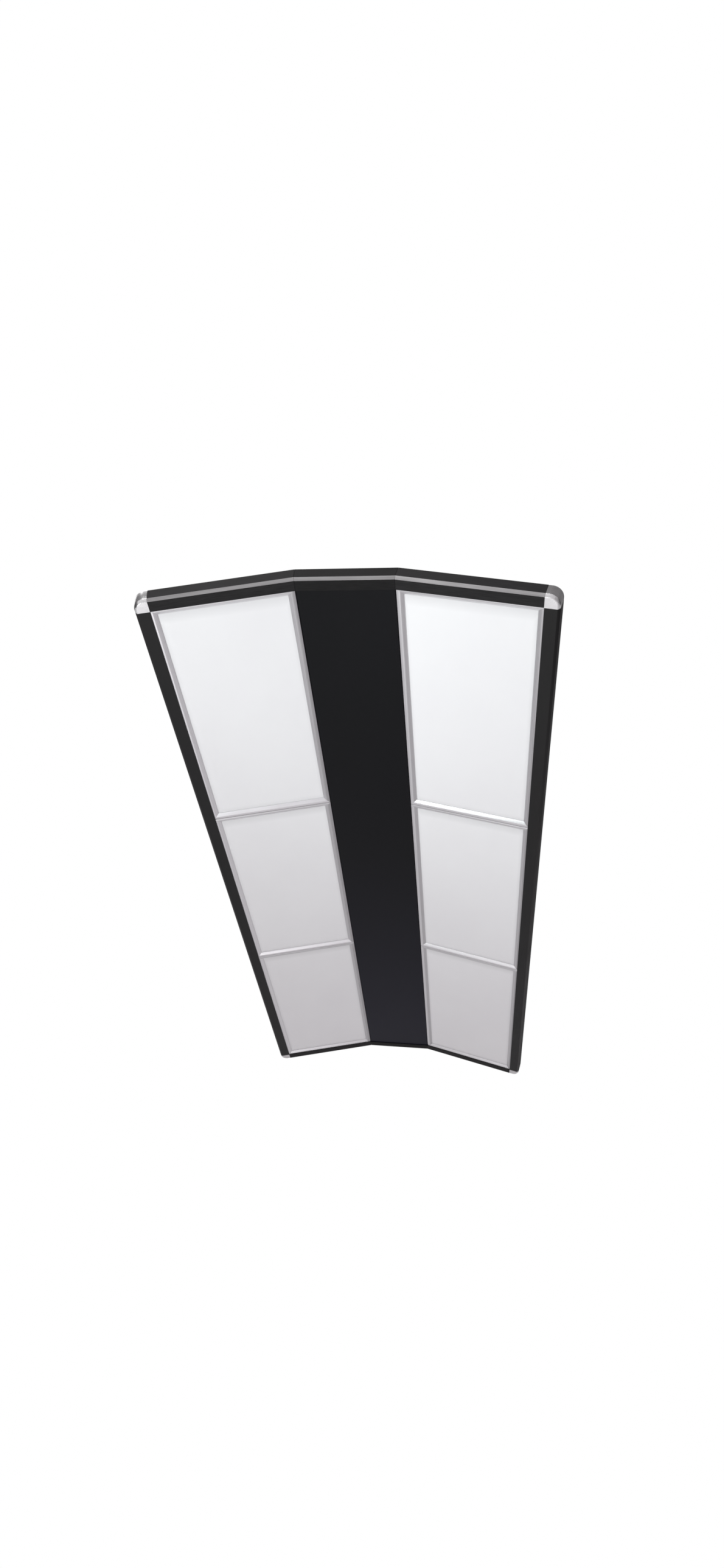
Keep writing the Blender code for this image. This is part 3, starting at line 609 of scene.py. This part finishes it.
FLIP_Y = Matrix.Diagonal((1, -1, 1, 1))
ENDS = {"right": {"near": -1, "far": 1}, "left": {"near": 1, "far": -1}}
for side in ("left", "right"):
    for end, sign in ENDS[side].items():
        place = WING[side] if sign > 0 else WING[side] @ FLIP_Y
        new_piece(f"{side}_corner_{end}", cap_bmesh(), [CHROME, PAINTED_HIGHLIGHT_PLATING], f"wing_{side}", place, 32,
                  (f"{side}_corner_cap_{end}",))


# --------------------------------------------------------------- panel frames
def bar_section():
    """The panel frame's section: u in from the panel's edge, h up from its lower face."""
    r = 0.0006
    lip_edge = [(0.0, r), (r * 0.3, r * 0.3), (r, 0.0)]
    crease = [(FRAME_LIP - 0.0004, 0.0), (FRAME_LIP, 0.00006), (FRAME_LIP + 0.0004, 0.00026)]
    throat = FRAME_LIP + FRAME_BEVEL
    nose = [(throat - 0.0005, FRAME_BEVEL_H - 0.00022), (throat - 0.0001, FRAME_BEVEL_H + 0.0001),
            (throat, FRAME_BEVEL_H + 0.0005)]
    return lip_edge + crease + nose + [(throat, LEDGE_H), (FRAME_T, LEDGE_H), (FRAME_T, PANEL_H),
                                       (0.0004, PANEL_H), (0.0, PANEL_H - 0.0004)]


def frame_bmesh(side):
    """Four mitred bars with hairline joints."""
    section = bar_section()
    joint = 0.00006
    w, l = PANEL_W, PANEL_L
    bars = []
    for second in (False, True):
        long = [[(w - u if second else u, (u + joint) if end == 0 else (l - u - joint), h) for u, h in section]
                for end in (0, 1)]
        across = [[((u + joint) if end == 0 else (w - u - joint), l - u if second else u, h) for u, h in section]
                  for end in (0, 1)]
        for rings, axis, size in ((long, 0, w), (across, 1, l)):
            bar = loft(rings)
            # on the left wing, which is half a turn round, the first bars are the right one and the far one
            place = 4 * axis + 2 * (second if side == "right" else not second)
            for face in bar.faces:
                middle = face.calc_center_median()
                u = size - middle[axis] if second else middle[axis]
                # each bar's lip and bevel take their own slot, for their painted light and shade
                face.material_index = place + (FRAME_LIP < u and middle.z < FRAME_BEVEL_H + 0.0001)
            bars.append(bar)
    return together(bars)


for side in ("left", "right"):
    for i in range(3):
        number = i + 1 if side == "right" else 3 - i
        y0 = -HALF_PANELS + i * (PANEL_L + PANEL_GAP)
        place = WING[side] @ Matrix.Translation((PANEL_S0, y0, PANEL_H0))
        new_piece(f"{side}_frame_{number}", frame_bmesh(side), LIT_AND_SHADED_FRAMES[side][number - 1], f"wing_{side}",
                  place, 25, (f"{side}_panel_frame_{number}",))


# --------------------------------------------------------------------- hinges
def leaf_bmesh(keep):
    """One leaf of the continuous hinge, running to +X from the axis."""
    start = math.pi + math.asin(-HINGE_BOTTOM / KNUCKLE_R)
    finish = 3 * math.pi + math.asin(-HINGE_TOP / KNUCKLE_R)
    sides = 22
    outer = [(KNUCKLE_R * math.cos(start + (finish - start) * i / sides),
              KNUCKLE_R * math.sin(start + (finish - start) * i / sides)) for i in range(sides + 1)]
    plate = [(-LEAF_W + 0.0004, HINGE_TOP), (-LEAF_W, HINGE_TOP - 0.0004), (-LEAF_W, HINGE_BOTTOM)]
    section = [(-x, z) for x, z in outer + plate]
    body = loft([[(x, y, z) for x, z in section] for y in (-HINGE_HALF_L, HINGE_HALF_L)])
    bore = turned([(0, -1), (BORE_R, -1), (BORE_R, 1), (0, 1)], 18)
    bmesh.ops.rotate(bore, verts=bore.verts, matrix=Matrix.Rotation(math.pi / 2, 3, "X"))
    body = cut(body, bore)
    pitch = 2 * HINGE_HALF_L / KNUCKLES
    notches = []
    for i in range(KNUCKLES):
        if i % 2 == keep:
            continue
        y0 = -HINGE_HALF_L + i * pitch - (GAP / 2 if i else 0.01)
        y1 = -HINGE_HALF_L + (i + 1) * pitch + (GAP / 2 if i < KNUCKLES - 1 else 0.01)
        notches.append(block((-0.006, y0, -0.006), (KNUCKLE_R + 0.0005, y1, 0.006)))
    return cut(body, together(notches))


def pin_bmesh():
    half = HINGE_HALF_L + 0.002
    bm = turned([(0, -half), (PIN_R - 0.0004, -half), (PIN_R, -half + 0.0004), (PIN_R, half - 0.0004),
                 (PIN_R - 0.0004, half), (0, half)], 18)
    bmesh.ops.rotate(bm, verts=bm.verts, matrix=Matrix.Rotation(math.pi / 2, 3, "X"))
    return bm


HALF_TURN = Matrix.Rotation(math.pi, 4, "Z")
for side, order in (("left", 0), ("right", 1)):
    # a half turn also turns the order of the knuckles, and the left side has one already
    new_piece(f"{side}_hinge_leaf_on_wing", leaf_bmesh(order), [ZINC], f"wing_{side}",
              HINGE[side] @ TILT, 30, (f"hinge_leaf_wing_{side}",))
    new_piece(f"{side}_hinge_leaf_on_spine", leaf_bmesh(order), [ZINC], "spine",
              HINGE[side] @ HALF_TURN, 30, (f"hinge_leaf_spine_{side}",))
    new_piece(f"{side}_hinge_pin_rod", pin_bmesh(), [ZINC], "spine", HINGE[side], 30,
              (f"hinge_pin_{side}",))


# --------------------------------------------------------------------- screws
def screw_head(radius, height, flush=False):
    """A cross-recessed head, domed, or flat and set in."""
    if flush:
        profile = [(0, -0.0008), (radius * 0.7, -0.0008), (radius - 0.0002, height - 0.0002),
                   (radius - 0.0003, height), (0, height)]
    else:
        profile = [(0, -0.0004), (radius * 0.96, -0.0004), (radius, 0.0002)]
        for i in range(1, 7):
            a = math.pi / 2 * i / 6
            profile.append((radius * (0.45 + 0.55 * math.cos(a)) if i < 6 else radius * 0.45,
                            0.0002 + (height - 0.0002) * math.sin(a)))
        profile.append((0, height * 1.02))
    head = turned(profile, 22)
    arm, wide, deep = radius * 0.62, radius * 0.11, height - 0.0009
    return cut(head, cross(arm, wide, deep, height))


def cross(arm, wide, deep, height):
    outline = [(arm, -wide), (arm, wide), (wide, wide), (wide, arm), (-wide, arm), (-wide, wide), (-arm, wide),
               (-arm, -wide), (-wide, -wide), (-wide, -arm), (wide, -arm), (wide, -wide)]
    return loft([[(x * 0.6, y * 0.6, deep) for x, y in outline], [(x * 1.1, y * 1.1, height + 0.001) for x, y in outline]])


def screws(name, head, places, body):
    """Copies of one head, each turned a little differently, as one piece."""
    mesh = bpy.data.meshes.new("work")
    head.to_mesh(mesh)
    head.free()
    whole = bmesh.new()
    for number, place in enumerate(places):
        copy = bmesh.new()
        copy.from_mesh(mesh)
        turn = Matrix.Rotation(math.radians(37 * number % 90), 4, "Z")
        bmesh.ops.transform(copy, matrix=place @ turn, verts=copy.verts)
        part = bpy.data.meshes.new("work2")
        copy.to_mesh(part)
        copy.free()
        whole.from_mesh(part)
        bpy.data.meshes.remove(part)
    bpy.data.meshes.remove(mesh)
    return new_piece(name, whole, [SCREW], body, None, 35)


def at(x, y, z):
    return Matrix.Translation((x, y, z))


cover_rows = [s * y for y in (0.06, 0.22, 0.38, 0.53, 0.69, 0.85) for s in (-1, 1)]
screws("cover_screws", screw_head(0.0034, 0.0021), [at(x, y, 0.0) for x in (-0.0715, 0.0715) for y in cover_rows],
       "spine")
screws("hanger_screws", screw_head(0.0040, 0.0003, True),
       [at(x, y, 0.0160) for y in (-0.6, 0.6) for x in (-0.058, 0.058)], "spine")
leaf_rows = [-HINGE_HALF_L + 2 * HINGE_HALF_L / KNUCKLES * (i + 0.5) for i in range(0, KNUCKLES, 2)]
for side in ("left", "right"):
    for on, body, more in (("spine", "spine", HALF_TURN), ("wing", f"wing_{side}", TILT)):
        screws(f"{side}_hinge_screws_on_{on}", screw_head(0.0029, 0.0003, True),
               [HINGE[side] @ more @ at(0.0155, y, HINGE_TOP) for y in leaf_rows], body)
    places = []
    top = PANEL_H0 + PANEL_H + GAP + BACK_T
    for i in range(3):
        y0 = -HALF_PANELS + i * (PANEL_L + PANEL_GAP)
        for s, y in [(0.2815, y0 + f * PANEL_L) for f in (0.12, 0.5, 0.88)] + \
                    [(s, y0 + d) for s in (0.075, 0.215) for d in (0.0048, PANEL_L - 0.0048)]:
            places.append(WING[side] @ at(s, y, top))
    screws(f"{side}_panel_back_screws", screw_head(0.0025, 0.0015), places, f"wing_{side}")


# ---------------------------------------------------------------------- rings
def ring_bmesh(inward):
    """A welded D-ring: a straight side through the lugs and a round bow."""
    half, root, reach, wire = 0.0300, 0.0120, 0.0400, 0.0025
    path = [(-half + 0.004 + (2 * half - 0.008) * i / 8, 0.0) for i in range(9)]
    path += [(half - 0.004 + 0.004 * math.sin(math.pi / 2 * i / 6), 0.004 - 0.004 * math.cos(math.pi / 2 * i / 6))
             for i in range(1, 7)]
    path += [(half, 0.0065), (half, 0.0095)]
    path += [(half * math.cos(math.pi * i / 40), root + (reach - root) * math.sin(math.pi * i / 40)) for i in range(41)]
    path += [(-half, 0.0095), (-half, 0.0065)]
    path += [(-half + 0.004 - 0.004 * math.sin(math.pi / 2 * i / 6), 0.004 - 0.004 * math.cos(math.pi / 2 * i / 6))
             for i in range(6, 0, -1)]
    count, sides = len(path), 16
    rings = []
    for i, (x, y) in enumerate(path):
        ax, ay = path[i - 1]
        bx, by = path[(i + 1) % count]
        size = math.hypot(bx - ax, by - ay)
        nx, ny = (by - ay) / size, -(bx - ax) / size
        swell = 0.00018 * math.exp(-((x / 0.0022) ** 2)) if abs(y) < 1e-6 else 0.0
        rings.append([(x + (wire + swell) * math.cos(t) * nx, inward * (y + (wire + swell) * math.cos(t) * ny),
                       (wire + swell) * math.sin(t)) for t in (2 * math.pi * k / sides for k in range(sides))])
    return loft(rings, closed_rows=True)


for end, y, inward in (("near", -0.574, 1), ("far", 0.574, -1)):
    new_piece(f"ring_{end}_wire", ring_bmesh(inward), [ZINC], f"ring_{end}", at(0, y, 0.0032), 40,
              (f"d_ring_{end}",))


# ---------------------------------------------------------------------- gland
def hexagon(across, z0, z1, edge):
    """A nut with turned-down corners, as a closed loft."""
    flat, corner = across / 2, across / math.sqrt(3)
    rings = []
    for z, limit in ((z0, corner - edge), (z0 + edge * 0.7, corner), (z1 - edge * 0.7, corner), (z1, corner - edge)):
        ring = []
        for i in range(48):
            a = 2 * math.pi * i / 48
            b = (a + math.pi / 6) % (math.pi / 3) - math.pi / 6
            r = min(flat / math.cos(b), limit)
            ring.append((r * math.cos(a), r * math.sin(a), z))
        rings.append(ring)
    return loft(rings)


def gland_bmesh():
    """Hexagon body, ribbed clamping dome, and the lock nut under the cover."""
    body = hexagon(0.0206, GAP, 0.0085, 0.0008)
    dome = []
    for z, r, rib in ((0.0084, 0.0092, 0.0), (0.0092, 0.0098, 0.0004), (0.0150, 0.0097, 0.0004),
                      (0.0172, 0.0092, 0.0003), (0.0190, 0.0082, 0.0001), (0.0204, 0.0066, 0.0), (0.0210, 0.0052, 0.0)):
        dome.append([((r + rib * (1 if k % 4 < 2 else -1)) * math.cos(2 * math.pi * k / 96),
                      (r + rib * (1 if k % 4 < 2 else -1)) * math.sin(2 * math.pi * k / 96), z) for k in range(96)])
    dome = loft(dome)
    thread = turned([(0, -0.0110), (0.0078, -0.0110), (0.0078, 0.0010), (0, 0.0010)], 36)
    nut = hexagon(0.0200, -0.0070, -COVER_T - GAP, 0.0008)
    whole = cut(cut(cut(body, dome, "UNION"), thread, "UNION"), nut, "UNION")
    mouth = turned([(0, -0.02), (0.0045, -0.02), (0.0045, 0.0200), (0.0050, 0.0220), (0, 0.0220)], 32)
    return cut(whole, mouth)


new_piece("gland_body", gland_bmesh(), [NYLON], "spine", at(0, 0.180, 0), 30, ("cable_gland",))
seal = turned([(0.0020, 0.0196), (0.0030, 0.0200), (0.0043, 0.0198), (0.0043, 0.0100), (0.0020, 0.0100)], 32, closed=True)
new_piece("gland_seal", seal, [RUBBER], "spine", at(0, 0.180, 0), 30)


# --------------------------------------------------------------------- studio
def floor_material():
    m = Nodes("studio_floor").set(Metallic=0.0, Specular_IOR_Level=0.2)
    cloud = m.noise(0.6, 4, 0.5)
    grain = m.noise(60, 2, 0.5)
    m.colour(m.blend(m.remap(cloud, 0, 1), (0.805, 0.80, 0.81), (0.82, 0.815, 0.825)))
    m.roughness(m.remap(grain, 0.65, 0.8))
    return m.material


bm = bmesh.new()
bmesh.ops.create_circle(bm, cap_ends=True, segments=96, radius=11.0)
mesh = bpy.data.meshes.new("studio_floor")
bm.to_mesh(mesh)
bm.free()
mesh.materials.append(floor_material())
floor = bpy.data.objects.new("studio_floor", mesh)
floor.location = (0, 0, -3.3)
bpy.context.scene.collection.objects.link(floor)


def area(name, place, target, size, power, spread=180, colour=(1, 1, 1)):
    data = bpy.data.lights.new(name, "AREA")
    data.shape = "RECTANGLE"
    data.size, data.size_y = size
    data.energy = power
    data.color = colour
    data.spread = math.radians(spread)
    light = bpy.data.objects.new(name, data)
    light.location = place
    light.rotation_euler = (Vector(target) - Vector(place)).to_track_quat("-Z", "Y").to_euler()
    light.visible_camera = False
    bpy.context.scene.collection.objects.link(light)
    return light


area("key_low_front", (-1.25, -1.65, -2.40), (0.05, -0.98, -0.05), (1.5, 1.0), 6.1, 54, (0.93, 1.0, 0.985))
area("floor_glow", (-0.42, 0.55, -3.2), (-0.42, 0.55, 0.0), (1.7, 2.4), 9.5)
area("floor_wash", (0.0, 1.6, -1.2), (0.0, 1.601, -3.3), (21.0, 21.0), 520, 180, (1.0, 0.96, 0.98))
area("high_front", (-0.8, -3.6, 1.3), (0.0, -0.92, -0.02), (1.6, 0.8), 9.5, 60)
area("overhead", (-1.1, -0.2, 3.4), (0.0, 0.0, 0.0), (2.6, 3.2), 55)
# soft fills from both sides, for the wings when they stand upright; they leave no highlight
for sign in (-1, 1):
    area(f"side_fill_{'left' if sign < 0 else 'right'}", (3.6 * sign, 0.3, 1.3), (0.0, 0.0, 0.15), (1.6, 2.6),
         4.4, 56).visible_glossy = False

world = bpy.data.worlds.new("studio_world")
bpy.context.scene.world = world
world.use_nodes = True
tree = world.node_tree
tree.nodes.clear()
output = tree.nodes.new("ShaderNodeOutputWorld")
mix = tree.nodes.new("ShaderNodeMixShader")
path = tree.nodes.new("ShaderNodeLightPath")
soft = tree.nodes.new("ShaderNodeBackground")
soft.inputs["Color"].default_value = (1.0, 0.965, 0.985, 1)
plain = tree.nodes.new("ShaderNodeBackground")
plain.inputs["Color"].default_value = (1, 1, 1, 1)
plain.inputs["Strength"].default_value = 1.0
direction = tree.nodes.new("ShaderNodeTexCoord")
height = tree.nodes.new("ShaderNodeSeparateXYZ")
fade = tree.nodes.new("ShaderNodeMapRange")
for key, value in (("From Min", -0.05), ("From Max", 0.40), ("To Min", 0.56), ("To Max", 0.20)):
    fade.inputs[key].default_value = value
tree.links.new(direction.outputs["Generated"], height.inputs[0])
tree.links.new(height.outputs["Z"], fade.inputs["Value"])
side = tree.nodes.new("ShaderNodeMath")
side.operation = "ABSOLUTE"
flags = tree.nodes.new("ShaderNodeMapRange")
for key, value in (("From Min", 0.80), ("From Max", 0.96), ("To Min", 1.0), ("To Max", 0.12)):
    flags.inputs[key].default_value = value
both = tree.nodes.new("ShaderNodeMath")
both.operation = "MULTIPLY"
tree.links.new(height.outputs["X"], side.inputs[0])
tree.links.new(side.outputs[0], flags.inputs["Value"])
tree.links.new(fade.outputs["Result"], both.inputs[0])
tree.links.new(flags.outputs["Result"], both.inputs[1])
tree.links.new(both.outputs[0], soft.inputs["Strength"])
tree.links.new(path.outputs["Is Camera Ray"], mix.inputs[0])
tree.links.new(soft.outputs[0], mix.inputs[1])
tree.links.new(plain.outputs[0], mix.inputs[2])
tree.links.new(mix.outputs[0], output.inputs["Surface"])
bpy.context.scene.view_settings.view_transform = "Standard"

# --------------------------------------------------------------------- camera
FOCAL_PX = 1374.39
EYE = Vector((0.27269, -1.75223, -1.40948))
YAW, PITCH, ROLL = -0.20397, 0.76965, 0.16293
ahead = Vector((math.sin(YAW) * math.cos(PITCH), math.cos(YAW) * math.cos(PITCH), math.sin(PITCH)))
level = Vector((math.cos(YAW), -math.sin(YAW), 0.0))
upright = level.cross(ahead)
right = math.cos(ROLL) * level + math.sin(ROLL) * upright
up = -math.sin(ROLL) * level + math.cos(ROLL) * upright
camera_data = bpy.data.cameras.new("camera")
camera_data.sensor_width = 36.0
camera_data.lens = FOCAL_PX * 36.0 / 2576
camera_data.clip_start, camera_data.clip_end = 0.05, 100
camera = bpy.data.objects.new("camera", camera_data)
turn = Matrix((right, up, -ahead)).transposed()
camera.matrix_world = Matrix.Translation(EYE) @ turn.to_4x4()
bpy.context.scene.collection.objects.link(camera)
bpy.context.scene.camera = camera
